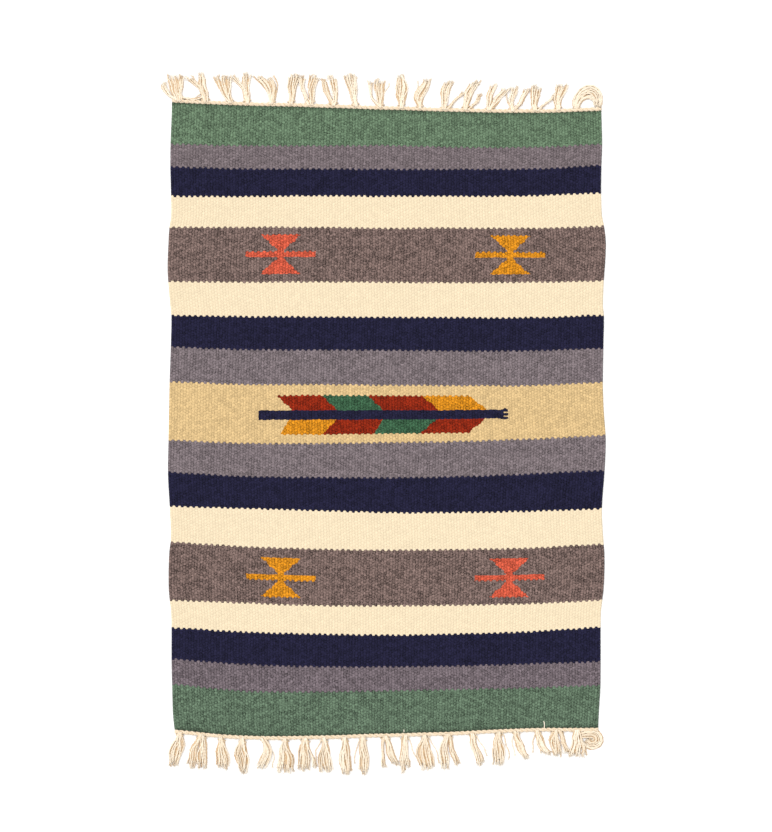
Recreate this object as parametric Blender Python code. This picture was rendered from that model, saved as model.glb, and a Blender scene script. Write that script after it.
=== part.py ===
"""A small hand-woven cotton dhurrie rug, lying flat.

It is one weft-faced cloth and, at each end, one comb-shaped fringe: the warp ends twined into a heading
and dropped in tassels. Metres, +Z up. The warp runs along Y, the weft along X, and the rug lies on the
XY plane with its origin under the middle of its box. The pieces are drawn in loom coordinates, which
start at the middle of the cloth, and the whole rug is then moved so that its box is centred.
"""

import math
from collections import namedtuple

import bmesh
import bpy
from mathutils import Vector

MM = 0.001

# Driving sizes
CLOTH_WIDTH = 600 * MM
CLOTH_LENGTH = 866 * MM
CLOTH_THICKNESS = 3.6 * MM
SELVEDGE_ROUND = 1.2 * MM  # the weft turns back round the outer warps
PIECE_GAP = 0.3 * MM
HEADING_WIDTH = 5.0 * MM
HEADING_HEIGHT = 3.2 * MM
HEADING_LIFT = 0.15 * MM  # the tassels' knots hold the heading just off the floor
KNOT_WIDTH = 5.6 * MM
KNOT_HEIGHT = 3.8 * MM
TIP_HEIGHT = 2.2 * MM  # a tassel's yarns spread flat

# How finely the outlines and lofts are drawn
OUTLINE_STEP = 14 * MM
HEADING_STEP = 15 * MM
RING_SIDES = 8
TASSEL_STATIONS = (0.0, 0.15, 0.32, 0.55, 0.8, 1.0)

# Where each selvedge stands out from a straight one, in mm. along is measured from the middle of the
# cloth towards the far end. The coarse brown yarn stands out, and the thin cream and green draw in.
Selvedge = namedtuple("Selvedge", "along left right")
SELVEDGES = (
    Selvedge(433, -1.5, -1.9),
    Selvedge(386, 0.4, -0.7),
    Selvedge(352, 0.7, -1.8),
    Selvedge(316, -0.3, -2.1),
    Selvedge(283, -0.4, -0.7),
    Selvedge(269, 2.2, 2.4),
    Selvedge(249, 3.3, 4.6),
    Selvedge(216, 4.6, 3.2),
    Selvedge(194, 3.6, 1.5),
    Selvedge(161, 0.7, 0.4),
    Selvedge(147, -0.8, 1.9),
    Selvedge(101, 0.1, 1.0),
    Selvedge(52, 1.8, 0.3),
    Selvedge(16, 2.5, 1.5),
    Selvedge(-26, 3.2, 4.3),
    Selvedge(-73, 4.0, 2.4),
    Selvedge(-121, 1.4, -1.0),
    Selvedge(-162, -0.1, 0.8),
    Selvedge(-184, 2.4, 2.6),
    Selvedge(-228, 3.1, 1.8),
    Selvedge(-250, 1.4, -0.8),
    Selvedge(-267, -0.7, -2.6),
    Selvedge(-334, -1.0, -2.8),
    Selvedge(-370, -1.9, -3.2),
    Selvedge(-406, -2.9, -5.4),
    Selvedge(-433, -5.8, -6.4),
)

# How far the first and last weft lie out from the straight ends, in mm, across the cloth.
EndWeft = namedtuple("EndWeft", "across far near")
END_WEFTS = (
    EndWeft(-300, 10.0, -5.8),
    EndWeft(-200, 6.0, 3.0),
    EndWeft(-100, 3.4, 2.8),
    EndWeft(0, 0.0, 0.0),
    EndWeft(100, -2.8, -2.9),
    EndWeft(200, -3.1, -7.5),
    EndWeft(300, -0.2, -7.6),
)

# One row a tassel, in mm. root: where it leaves the heading, across the cloth. lean: how far its tip
# lies to the right of its root. sway: how far its middle bows to the right. length: from the heading.
Tassel = namedtuple("Tassel", "root lean sway length tip_width")
FAR_TASSELS = (
    Tassel(-287, -11, -5, 35, 20),
    Tassel(-250, -13, 2, 36, 17),
    Tassel(-216, -12, -1, 34, 13),
    Tassel(-193, -6, 0, 38, 15),
    Tassel(-161, -9, 5, 36, 18),
    Tassel(-134, 4, -1, 36, 11),
    Tassel(-105, -4, -3, 37, 19),
    Tassel(-73, -9, -1, 37, 16),
    Tassel(-42, -8, -2, 40, 13),
    Tassel(-8, -3, -3, 35, 21),
    Tassel(20, 1, 0, 43, 15),
    Tassel(48, 5, -3, 36, 16),
    Tassel(80, 3, -2, 36, 13),
    Tassel(109, 15, -4, 36, 14),
    Tassel(143, 13, -4, 31, 15),
    Tassel(174, 8, -2, 33, 17),
    Tassel(205, 4, -1, 33, 12),
    Tassel(238, 4, -1, 33, 13),
    Tassel(263, 13, -5, 31, 11),
    Tassel(296, -5, 3, 29, 10),
)
NEAR_TASSELS = (
    Tassel(-287, -9, -2, 42, 13),
    Tassel(-259, -3, 1, 44, 18),
    Tassel(-229, 2, -2, 42, 16),
    Tassel(-200, 0, -1, 43, 14),
    Tassel(-173, -4, 9, 38, 13),
    Tassel(-141, 1, -1, 43, 19),
    Tassel(-113, 1, -2, 44, 14),
    Tassel(-86, -2, -3, 43, 19),
    Tassel(-57, -2, -1, 46, 16),
    Tassel(-33, 0, -2, 48, 14),
    Tassel(-2, 8, -2, 41, 16),
    Tassel(26, 0, -1, 48, 12),
    Tassel(55, 1, -1, 45, 16),
    Tassel(85, 5, -2, 43, 18),
    Tassel(118, 11, -2, 43, 10),
    Tassel(152, 5, -2, 39, 12),
    Tassel(177, 12, -2, 34, 13),
    Tassel(207, 11, -1, 31, 10),
    Tassel(236, 6, -2, 32, 16),
    Tassel(263, 0, 0, 33, 13),
    Tassel(286, -5, 8, 26, 12),
)


def clear_scene():
    for obj in list(bpy.data.objects):
        bpy.data.objects.remove(obj)


def through(places, values, place):
    """The value at place on a smooth line through the given values, flat beyond the first and last."""
    if place <= places[0]:
        return values[0]
    if place >= places[-1]:
        return values[-1]
    i = max(k for k in range(len(places) - 1) if places[k] <= place)
    span = places[i + 1] - places[i]

    def slope(k):
        before, after = max(k - 1, 0), min(k + 1, len(places) - 1)
        return (values[after] - values[before]) / (places[after] - places[before]) * span

    t = (place - places[i]) / span
    start = values[i] * (1 + 2 * t) * (1 - t) ** 2 + slope(i) * t * (1 - t) ** 2
    end = values[i + 1] * (3 - 2 * t) * t**2 + slope(i + 1) * (t - 1) * t**2
    return start + end


def selvedge_x(along, side):
    """X of the left (side -1) or right (side +1) selvedge."""
    rows = SELVEDGES[::-1]
    out = [row.left if side < 0 else row.right for row in rows]
    return side * (CLOTH_WIDTH / 2 + through([row.along for row in rows], out, along / MM) * MM)


def end_y(across, end):
    """Y of the first weft at the far (end +1) or near (end -1) end."""
    out = [row.far if end > 0 else row.near for row in END_WEFTS]
    return end * (CLOTH_LENGTH / 2 + through([row.across for row in END_WEFTS], out, across / MM) * MM)


def corner(side, end):
    """Where a selvedge meets an end."""
    y = end * CLOTH_LENGTH / 2
    for _ in range(3):
        x = selvedge_x(y, side)
        y = end_y(x, end)
    return Vector((x, y))


def steps(start, stop, step):
    count = max(1, round(abs(stop - start) / step))
    return [start + (stop - start) * i / count for i in range(count)]


def cloth_outline():
    """The cloth's outline, anticlockwise from the near left corner."""
    near_left, near_right = corner(-1, -1), corner(1, -1)
    far_right, far_left = corner(1, 1), corner(-1, 1)
    outline = [(x, end_y(x, -1)) for x in steps(near_left.x, near_right.x, OUTLINE_STEP)]
    outline += [(selvedge_x(y, 1), y) for y in steps(near_right.y, far_right.y, OUTLINE_STEP)]
    outline += [(x, end_y(x, 1)) for x in steps(far_right.x, far_left.x, OUTLINE_STEP)]
    outline += [(selvedge_x(y, -1), y) for y in steps(far_left.y, near_left.y, OUTLINE_STEP)]
    return outline


def woven_cloth():
    """The cloth: its flat outline, given its thickness and a rounded edge."""
    outline = cloth_outline()
    curve = bpy.data.curves.new("woven_cloth", "CURVE")
    curve.dimensions = "2D"
    curve.fill_mode = "BOTH"
    curve.extrude = CLOTH_THICKNESS / 2 - SELVEDGE_ROUND
    curve.bevel_depth = SELVEDGE_ROUND
    curve.bevel_resolution = 1
    curve.offset = -SELVEDGE_ROUND
    spline = curve.splines.new("POLY")
    spline.points.add(len(outline) - 1)
    for point, (x, y) in zip(spline.points, outline):
        point.co = (x, y, 0, 1)
    spline.use_cyclic_u = True
    cloth = bpy.data.objects.new("woven_cloth", curve)
    cloth.location.z = CLOTH_THICKNESS / 2
    return cloth


def ring(centre, sideways, half_width, half_height):
    """An oval of RING_SIDES points round centre, in the upright plane that holds sideways."""
    points = []
    for i in range(RING_SIDES):
        angle = 2 * math.pi * i / RING_SIDES
        points.append(
            centre
            + sideways * (half_width * math.cos(angle))
            + Vector((0, 0, half_height * math.sin(angle)))
        )
    return points


def loft(name, rings):
    """A closed solid through rings of equal count, which run from one end of the piece to the other."""
    mesh = bpy.data.meshes.new(name)
    bm = bmesh.new()
    loops = [[bm.verts.new(point) for point in points] for points in rings]
    for before, after in zip(loops, loops[1:]):
        for i in range(RING_SIDES):
            j = (i + 1) % RING_SIDES
            bm.faces.new((before[i], before[j], after[j], after[i]))
    bm.faces.new(loops[0])
    bm.faces.new(loops[-1])
    bmesh.ops.recalc_face_normals(bm, faces=bm.faces)
    bm.to_mesh(mesh)
    bm.free()
    return bpy.data.objects.new(name, mesh)


def heading_y(x, end):
    """Y of the heading's middle line, just outside the last weft."""
    return end_y(x, end) + end * (PIECE_GAP + HEADING_WIDTH / 2)


def heading(name, end):
    """The twined warp ends along one end of the cloth, as a plain oval cord."""
    left, right = corner(-1, end).x, corner(1, end).x
    stations = steps(left, right, HEADING_STEP) + [right]
    rings = []
    for x in stations:
        centre = Vector((x, heading_y(x, end), HEADING_LIFT + HEADING_HEIGHT / 2))
        rings.append(ring(centre, Vector((0, 1, 0)), HEADING_WIDTH / 2, HEADING_HEIGHT / 2))
    return loft(name, rings)


def tassel(name, row, end):
    """One bundle of warp ends: a round knot in the heading, spreading to a flat brush."""
    x_root = row.root * MM
    y_root = heading_y(x_root, end)
    reach = row.length * MM + HEADING_WIDTH / 2

    def middle(t):
        x = x_root + (row.lean * t + row.sway * 4 * t * (1 - t)) * MM
        return Vector((x, y_root + end * reach * t, 0))

    rings = []
    for t in TASSEL_STATIONS:
        ahead = middle(min(t + 0.05, 1)) - middle(max(t - 0.05, 0))
        sideways = Vector((ahead.y, -ahead.x, 0)).normalized()
        spread = math.sin(math.pi / 2 * min(t / 0.72, 1)) ** 2
        drawn_in = 1 - 0.35 * max(0, (t - 0.72) / 0.28) ** 2
        width = (KNOT_WIDTH + (row.tip_width * MM - KNOT_WIDTH) * spread) * drawn_in
        height = KNOT_HEIGHT + (TIP_HEIGHT - KNOT_HEIGHT) * t
        centre = middle(t) + Vector((0, 0, height / 2))
        rings.append(ring(centre, sideways, width / 2, height / 2))
    return loft(name, rings)


def comb(name, rows, end, cutters):
    """A whole fringe: the heading with its tassels joined to it as one solid."""
    spine = heading(name, end)
    bundles = bpy.data.collections.new(name + "_tassels")
    cutters.children.link(bundles)
    for i, row in enumerate(rows):
        bundle = tassel(f"{name}_tassel_{i + 1}", row, end)
        bundle.hide_render = True
        bundle.display_type = "WIRE"
        bundles.objects.link(bundle)
    join = spine.modifiers.new("tassels", "BOOLEAN")
    join.operation = "UNION"
    join.operand_type = "COLLECTION"
    join.collection = bundles
    return spine


def cotton(name, colour, roughness):
    """A matt cotton yarn finish."""
    material = bpy.data.materials.new(name)
    material.use_nodes = True
    surface = material.node_tree.nodes["Principled BSDF"]
    surface.inputs["Base Color"].default_value = (*colour, 1)
    surface.inputs["Roughness"].default_value = roughness
    surface.inputs["Metallic"].default_value = 0
    return material


def centre_rug(pieces):
    """Moves the rug so that its box is centred on the Z axis."""
    bpy.context.view_layer.update()
    graph = bpy.context.evaluated_depsgraph_get()
    points = []
    for piece in pieces:
        shown = piece.evaluated_get(graph)
        mesh = shown.to_mesh()
        points += [piece.matrix_world @ vertex.co for vertex in mesh.vertices]
        shown.to_mesh_clear()
    middle_x = (min(p.x for p in points) + max(p.x for p in points)) / 2
    middle_y = (min(p.y for p in points) + max(p.y for p in points)) / 2
    rug = bpy.data.objects.new("dhurrie_rug", None)
    rug.location = (-middle_x, -middle_y, 0)
    bpy.context.scene.collection.children["dhurrie rug"].objects.link(rug)
    for obj in bpy.data.objects:
        if obj is not rug and obj.parent is None:
            obj.parent = rug


def main():
    clear_scene()
    rug = bpy.data.collections.new("dhurrie rug")
    cutters = bpy.data.collections.new("tassels to join")
    for collection in (rug, cutters):
        bpy.context.scene.collection.children.link(collection)
    cloth_yarn = cotton("dyed cotton weft", (0.19, 0.16, 0.17), 0.9)
    warp_yarn = cotton("undyed cotton warp", (0.86, 0.73, 0.52), 0.85)
    cloth = woven_cloth()
    far = comb("fringe_far_end", FAR_TASSELS, 1, cutters)
    near = comb("fringe_near_end", NEAR_TASSELS, -1, cutters)
    for piece, yarn in ((cloth, cloth_yarn), (far, warp_yarn), (near, warp_yarn)):
        piece.data.materials.append(yarn)
        rug.objects.link(piece)
    centre_rug((cloth, far, near))


main()
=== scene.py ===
"""The looks of a small hand-woven cotton dhurrie rug, laid flat on a pale floor.

The rug is a weft-faced plain weave: thick dyed cotton picks cover a cotton warp, so the cloth shows one
rib for each warp, and each pick shows as a row of floats over every second rib. Both ends of the warp are
twined into a heading and dropped in tassels. Everything is drawn in loom coordinates, in metres from the
middle of the cloth, with the warp along Y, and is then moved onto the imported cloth. Tables are in mm.
"""

import math
import random
from collections import namedtuple

import bpy
import numpy as np
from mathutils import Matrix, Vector


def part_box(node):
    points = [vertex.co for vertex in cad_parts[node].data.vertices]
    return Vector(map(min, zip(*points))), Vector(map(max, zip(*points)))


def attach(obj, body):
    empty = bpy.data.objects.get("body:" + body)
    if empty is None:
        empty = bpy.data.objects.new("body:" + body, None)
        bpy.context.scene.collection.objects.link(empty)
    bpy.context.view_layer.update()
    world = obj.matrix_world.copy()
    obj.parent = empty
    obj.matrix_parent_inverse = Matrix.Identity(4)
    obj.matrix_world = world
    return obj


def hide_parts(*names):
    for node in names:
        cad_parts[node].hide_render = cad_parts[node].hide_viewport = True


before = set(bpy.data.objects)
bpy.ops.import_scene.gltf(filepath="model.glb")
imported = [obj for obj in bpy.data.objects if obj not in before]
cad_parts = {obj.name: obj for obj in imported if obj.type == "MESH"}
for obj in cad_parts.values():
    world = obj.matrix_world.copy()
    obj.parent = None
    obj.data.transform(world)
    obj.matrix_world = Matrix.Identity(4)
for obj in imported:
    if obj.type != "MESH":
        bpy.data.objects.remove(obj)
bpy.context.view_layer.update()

MM = 0.001

# ---------------------------------------------------------------- the cloth

CLOTH_WIDTH = 600 * MM
CLOTH_THICKNESS = 3.6 * MM
WARPS = 152  # ribs across the cloth, so one every 3.95 mm
PICK = 2.1 * MM  # from one weft to the next, beaten down over the warp
RIB_RELIEF = 0.55 * MM  # how far the hollow between two ribs lies below them
COLUMNS_PER_RIB = 4
ROW_STEP = 13 * MM
EDGE_ROUND = 1.6 * MM
END_PICKS = 0.3  # the last picks go this far past the last weft line, round the warp
MAP_SHARE = 0.98  # how much of the flat map the cloth fills

# How far each selvedge stands out from a straight one. along is measured from the middle of the cloth.
Selvedge = namedtuple("Selvedge", "along left right")
SELVEDGES = (
    Selvedge(433, -1.5, -1.9),
    Selvedge(386, 0.4, -0.7),
    Selvedge(352, 0.7, -1.8),
    Selvedge(316, -0.3, -2.1),
    Selvedge(283, -0.4, -0.7),
    Selvedge(269, 2.2, 2.4),
    Selvedge(249, 3.3, 4.6),
    Selvedge(216, 4.6, 3.2),
    Selvedge(194, 3.6, 1.5),
    Selvedge(161, 0.7, 0.4),
    Selvedge(147, -0.8, 1.9),
    Selvedge(101, 0.1, 1.0),
    Selvedge(52, 1.8, 0.3),
    Selvedge(16, 2.5, 1.5),
    Selvedge(-26, 3.2, 4.3),
    Selvedge(-73, 4.0, 2.4),
    Selvedge(-121, 1.4, -1.0),
    Selvedge(-162, -0.1, 0.8),
    Selvedge(-184, 2.4, 2.6),
    Selvedge(-228, 3.1, 1.8),
    Selvedge(-250, 1.4, -0.8),
    Selvedge(-267, -0.7, -2.6),
    Selvedge(-334, -1.0, -2.8),
    Selvedge(-370, -1.9, -3.2),
    Selvedge(-406, -2.9, -5.4),
    Selvedge(-433, -5.8, -6.4),
)

# A dyed weft yarn: its colour, and how strongly its floats differ in lightness, as a share.
Yarn = namedtuple("Yarn", "colour fleck")
YARNS = {
    "green": Yarn("#576B55", 0.151),
    "sea green": Yarn("#526452", 0.166),
    "mauve grey": Yarn("#695F62", 0.129),
    "light mauve grey": Yarn("#6B6164", 0.138),
    "dark mauve grey": Yarn("#63595E", 0.150),
    "navy": Yarn("#1B1A30", 0.147),
    "cream": Yarn("#D9C8AA", 0.022),
    "brown": Yarn("#675651", 0.200),
    "tan": Yarn("#C3A778", 0.068),
    "orange red": Yarn("#B74E38", 0.140),
    "mustard": Yarn("#BA7817", 0.145),
    "dark red": Yarn("#78200B", 0.155),
    "motif green": Yarn("#32533B", 0.165),
}

# The lines where one colour of weft ends and the next starts, from the far end to the near one: where
# each is at the middle of the cloth, how far it lies from there towards the far end at six places, and
# the yarn woven on its near side, which is none after the last pick.
WeftLine = namedtuple("WeftLine", "along left_edge left inner_left inner_right right right_edge yarn")
WEFT_LINES = (
    WeftLine(433, 10, 6, 3.4, -2.8, -4.4, -1.4, "green"),
    WeftLine(383.5, 2, -0.5, -0.5, -2.5, -2.5, 2, "mauve grey"),
    WeftLine(350.5, 3.5, 0.5, 0.5, 0, 0.5, 5.5, "navy"),
    WeftLine(313, -0.5, -0.5, 0.5, 0, 0.5, 4.5, "cream"),
    WeftLine(268.5, 1.5, 1.5, 1.5, 0.5, 0, 3, "brown"),
    WeftLine(193.5, 1, 0, 0.5, -0.5, 0, 2, "cream"),
    WeftLine(145, 2.5, 1, 0.5, -0.5, -0.5, 3, "navy"),
    WeftLine(99, 5, 1, 0.5, -1, -0.5, 3, "light mauve grey"),
    WeftLine(50.5, 5, 1, 1, -0.5, -0.5, 4, "tan"),
    WeftLine(-29, 3.5, -1, -1.5, 1.5, 5, 10, "light mauve grey"),
    WeftLine(-78, 8, 2, 0.5, 1.5, 5.5, 10.5, "navy"),
    WeftLine(-126.5, 9, 6, 3, 0, 2, 5.5, "cream"),
    WeftLine(-178.5, 11.5, 5, 1.5, 1, 3, 8.5, "brown"),
    WeftLine(-256, 8, 4, 0.5, 1, 3, 8, "cream"),
    WeftLine(-296.5, 10.5, 4.5, 1.5, 1.5, 5, 11, "navy"),
    WeftLine(-340.5, 11, 3.5, 0, 1, 4, 7, "dark mauve grey"),
    WeftLine(-374, 9.5, -0.5, -1.5, 2, 4, 8, "sea green"),
    WeftLine(-433, 5.8, -3, -2.8, 2.9, 7.5, 7.6, None),
)

# The bands that hold the motifs, counted from 0 at the far end.
UPPER_BROWN = 4
TAN_BAND = 8
LOWER_BROWN = 12

# The four hourglasses are one figure, mirrored about the middle of the cloth both ways. Warps and picks.
UPPER_OFF = -0.3  # how far each pair stands towards the near end from the middle of its brown band
LOWER_OFF = 0.8
GLASS_FROM_MIDDLE = 39.9
GLASS_MIDDLE = 79.0  # the four stand a little to the right of the middle warp
GLASS_HEIGHT = 12.9  # from its bar to its end
GLASS_WAIST = 1.3
GLASS_SLOPE = 0.58  # warps it widens with each pick
BAR_REACH = 12.3
BAR_HEIGHT = 1.8
TOOTH = 0.5  # how much of a float's height each tooth of a colour's edge takes

# The feather lies along the tan band. Warps across the cloth, and picks from the shaft's middle line.
SHAFT_TO_LINE = 18.4  # picks from its middle line to the near edge of the band
SHAFT = (31.4, 118.5)
SHAFT_HALF = 3.05
NOCK = (116.2, 3.7)  # from which warp the shaft flares, and to what half width
NOTCHES = (-0.9, 1.6)  # two narrow notches run in from its end
NOTCH_DEPTH = 1.5
NOTCH_HALF = 0.4
VANE_FAR = 12.7
VANE_NEAR = 12.6
Barb = namedtuple("Barb", "start slope yarn")  # where it starts at the shaft, and warps it leans back a pick
FAR_BARBS = (
    Barb(45, 0.6, "dark red"),
    Barb(60.7, 0.58, "motif green"),
    Barb(76.6, 0.55, "dark red"),
    Barb(96.5, 0.64, "mustard"),
    Barb(113.3, 0.66, "tan"),
)
NEAR_BARBS = (
    Barb(43, 0.33, "mustard"),
    Barb(60.4, 0.55, "dark red"),
    Barb(75.8, 0.34, "motif green"),
    Barb(95.3, 0.6, "dark red"),
    Barb(112.8, 0.67, "tan"),
)

# ---------------------------------------------------------------- the fringes

HEADING_FROM_WEFT = -0.4 * MM  # the heading is pulled up against the last pick's turns
HEADING_STRAND = 1.9 * MM  # radius of each of its two strands
HEADING_COIL = 1.15 * MM
HEADING_PITCH = 15 * MM
HEADING_STEP = 1.7 * MM  # between the points along it
YARN_RADIUS = 1.2 * MM
PLY_PITCH = 9 * MM
PLY_OFF = 0.48  # of the yarn's radius, from its middle line to the middle of each ply
PLY_RADIUS = 0.6  # of the yarn's radius
FIBRE_RADIUS = 0.14 * MM
FIBRES_ALONG = 5  # loose fibres along each yarn
FIBRES_AT_TIP = 8  # and at its cut end
LOOSE_END_RADIUS = 0.6 * MM
LOCK_WAVE = 0.8  # mm, how far a lock waves from side to side
NEAR_FULLNESS = 1.26  # the outer yarns lie out past the widths in the tables
FAR_FULLNESS = 1.34
ROOT_WIDTH = 7.5  # mm, of the widest root, where a lock leaves the heading
STATIONS = 12  # points along each yarn
UNDER_STATIONS = 11  # and along the shorter ones under them
YARN_SIDES = 5
FIBRE_SIDES = 3

# A lock of warp ends. root: where it leaves the heading, across the cloth. middle and tip: how far its
# middle and its tip lie to the right of the root. reach: how far the tip is from the heading. belly and
# spread: its width at its middle and at its tip.
Lock = namedtuple("Lock", "root middle tip reach belly spread yarns")
FAR_LOCKS = (
    Lock(-291, -4, -6, 32, 11, 13, 7),
    Lock(-287, 0, 2, 30, 5, 7, 6),
    Lock(-289, -17, -21, 21, 5, 7, 5),
    Lock(-250, -5, -8, 36, 9, 8, 10),
    Lock(-252, -7, -22, 32, 5, 7, 6),
    Lock(-216, -9, -12, 34, 13, 17, 13),
    Lock(-193, -3, -3, 38, 9, 8, 7),
    Lock(-194, -5, -19, 35, 5, 6, 6),
    Lock(-193, -2, 6, 39, 2, 2, 1),
    Lock(-160, 0, -11, 35, 12, 21, 16),
    Lock(-133, 2, 4, 38, 9, 13, 12),
    Lock(-105, 1, 3, 38, 8, 10, 7),
    Lock(-106, -10, -12, 37, 5, 6, 7),
    Lock(-74, 3, -4, 37, 7, 8, 7),
    Lock(-75, -7, -14, 33, 6, 7, 6),
    Lock(-43, -4, -6, 41, 9, 13, 13),
    Lock(-8, -2, -1, 35, 10, 13, 10),
    Lock(-9, -13, -14, 32, 3, 4, 4),
    Lock(-7, 3, 9, 30, 2, 2, 1),
    Lock(20, 1, -1, 44, 15, 6, 13),
    Lock(46, 0, 11, 37, 14, 8, 12),
    Lock(46, -3, -4, 34, 2, 2, 1),
    Lock(80, 0, 7, 36, 10, 12, 12),
    Lock(83, 12, 24, 22, 3, 4, 4),
    Lock(109, 4, 16, 37, 10, 9, 12),
    Lock(112, 12, 17, 18, 4, 4, 4),
    Lock(141, 2, 7, 32, 8, 8, 6),
    Lock(143, 10, 22, 27, 9, 7, 7),
    Lock(174, 0, 5, 31, 6, 9, 7),
    Lock(175, 13, 19, 28, 5, 6, 6),
    Lock(173, -5, -8, 26, 2, 2, 1),
    Lock(206, -1, 2, 31, 10, 10, 10),
    Lock(209, 12, 24, 18, 3, 3, 4),
    Lock(238, 1, 5, 33, 10, 12, 12),
)
NEAR_LOCKS = (
    Lock(-287, -4, -10, 42, 18, 9, 16),
    Lock(-258, -10, -14, 42, 9, 9, 6),
    Lock(-255, -1, -2, 42, 12, 11, 10),
    Lock(-230, 1, 3, 41, 14, 14, 13),
    Lock(-200, -2, 1, 44, 17, 7, 13),
    Lock(-172, 7, -4, 37, 11, 11, 13),
    Lock(-170, 12, 12, 38, 2, 2, 1),
    Lock(-141, 0, 0, 43, 17, 18, 16),
    Lock(-114, -1, 0, 42, 12, 12, 12),
    Lock(-112, 6, 13, 39, 3, 4, 4),
    Lock(-87, 2, 3, 45, 14, 15, 13),
    Lock(-89, -8, -12, 30, 2, 2, 1),
    Lock(-58, 0, 1, 47, 14, 12, 16),
    Lock(-33, 1, 3, 48, 12, 10, 13),
    Lock(-35, -8, -9, 38, 2, 2, 1),
    Lock(-4, -2, 1, 42, 3, 4, 4),
    Lock(-1, 5, 13, 37, 9, 9, 10),
    Lock(25, -3, -3, 48, 7, 4, 6),
    Lock(26, 1, 4, 40, 5, 6, 6),
    Lock(28, 7, 14, 32, 2, 2, 1),
    Lock(53, 0, 3, 45, 18, 14, 13),
    Lock(56, 11, 16, 36, 2, 2, 1),
    Lock(84, -4, -2, 44, 11, 9, 10),
    Lock(86, 5, 11, 40, 7, 7, 6),
    Lock(119, 4, 12, 42, 9, 8, 12),
    Lock(122, 11, 19, 34, 2, 2, 1),
    Lock(156, -1, 0, 41, 14, 10, 13),
    Lock(159, 8, 12, 34, 2, 2, 1),
    Lock(179, 5, 14, 35, 10, 8, 12),
    Lock(177, -2, 2, 35, 2, 2, 1),
    Lock(209, 4, 14, 30, 9, 8, 12),
    Lock(207, -3, -4, 32, 2, 2, 1),
    Lock(210, 2, 4, 33, 2, 2, 1),
    Lock(234, -1, 4, 33, 12, 8, 10),
    Lock(240, 5, 10, 27, 6, 6, 6),
    Lock(263, 0, -2, 33, 11, 11, 12),
    Lock(267, 5, 8, 32, 4, 4, 4),
)

# Bundles that curl or cross, each along a route of (across, out from the heading).
Curl = namedtuple("Curl", "route width yarns")
FAR_CURLS = (
    Curl(((-255, 12), (-262, 6), (-269, 1)), 2, 1),
    Curl(((-292, 9), (-286, 3), (-276, 1), (-266, 1), (-258, 4), (-253, 10)), 4, 4),
    Curl(((264, -1), (264, 8), (270, 19), (281, 25), (291, 21), (295, 10), (294, 0)), 15, 14),
    Curl(((265, 0), (270, 10), (279, 15), (287, 13), (292, 5)), 7, 6),
)
NEAR_CURLS = (
    Curl(((270, 1), (279, -1), (290, 0), (296, 6), (297, 14), (290, 20), (281, 20), (275, 14)), 10, 9),
    Curl(((271, 6), (279, 5), (287, 5), (291, 9), (289, 14), (283, 14), (280, 10)), 9, 6),
)

# Ends of warp yarn that show on the near green: where each starts, and how far it runs across and towards
# the near end.
LooseEnd = namedtuple("LooseEnd", "across along run_across run_along")
LOOSE_ENDS = (LooseEnd(218, -416, 1.6, -10), LooseEnd(23.5, -428, 0.8, -3))

# ---------------------------------------------------------------- loom coordinates


def through(places, values, place):
    """The value at place on a smooth line through the given values, flat beyond the first and last."""
    if place <= places[0]:
        return values[0]
    if place >= places[-1]:
        return values[-1]
    i = max(k for k in range(len(places) - 1) if places[k] <= place)
    span = places[i + 1] - places[i]

    def slope(k):
        before, after = max(k - 1, 0), min(k + 1, len(places) - 1)
        return (values[after] - values[before]) / (places[after] - places[before]) * span

    t = (place - places[i]) / span
    start = values[i] * (1 + 2 * t) * (1 - t) ** 2 + slope(i) * t * (1 - t) ** 2
    end = values[i + 1] * (3 - 2 * t) * t**2 + slope(i + 1) * (t - 1) * t**2
    return start + end


def selvedge_x(along, side):
    """X of the left (side -1) or right (side +1) selvedge."""
    rows = SELVEDGES[::-1]
    out = [row.left if side < 0 else row.right for row in rows]
    return side * (CLOTH_WIDTH / 2 + through([row.along for row in rows], out, along / MM) * MM)


def weft_y(line, across):
    """Y of a weft line at a place across the cloth."""
    places = (-300, -200, -100, 0, 100, 200, 300)
    off = (line.left_edge, line.left, line.inner_left, 0, line.inner_right, line.right, line.right_edge)
    return (line.along + through(places, off, across / MM)) * MM


def pick_lines():
    """The pick number, counted from the far end, at which each weft line lies."""
    numbers = [0]
    for line, after in zip(WEFT_LINES, WEFT_LINES[1:]):
        numbers.append(numbers[-1] + round((line.along - after.along) * MM / PICK))
    return numbers


PICK_LINES = pick_lines()
PICKS = PICK_LINES[-1]


def pick_rows():
    """The pick numbers at which the cloth's mesh has a row of vertices, denser where its ends are rounded."""
    rows = [-END_PICKS, -END_PICKS / 3, END_PICKS]
    for start, stop in zip(PICK_LINES, PICK_LINES[1:]):
        count = max(1, round((stop - start) * PICK / ROW_STEP))
        rows += [start + (stop - start) * i / count for i in range(count)][start == 0 :]
    return rows + [PICKS - END_PICKS, PICKS + END_PICKS / 3, PICKS + END_PICKS]


def cloth_grid():
    """Warp numbers of the mesh's columns, pick numbers of its rows, and X and Y where they cross."""
    warps = np.arange(WARPS * COLUMNS_PER_RIB + 1) / COLUMNS_PER_RIB
    rows = pick_rows()
    across = (warps / WARPS - 0.5) * CLOTH_WIDTH
    lines = np.array([[weft_y(line, x) for x in across] for line in WEFT_LINES])
    xs, ys = [], []
    for pick in rows:
        band = max(k for k in range(len(PICK_LINES) - 1) if PICK_LINES[k] <= max(pick, 0))
        inside = min(max(pick, 0), PICKS)
        share = (inside - PICK_LINES[band]) / (PICK_LINES[band + 1] - PICK_LINES[band])
        y = lines[band] * (1 - share) + lines[band + 1] * share - (pick - inside) * PICK
        left, right = selvedge_x(y[0], -1), selvedge_x(y[-1], 1)
        ys.append(y)
        xs.append(left + (right - left) * warps / WARPS)
    return warps, np.array(rows), np.array(xs), np.array(ys)


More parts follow.
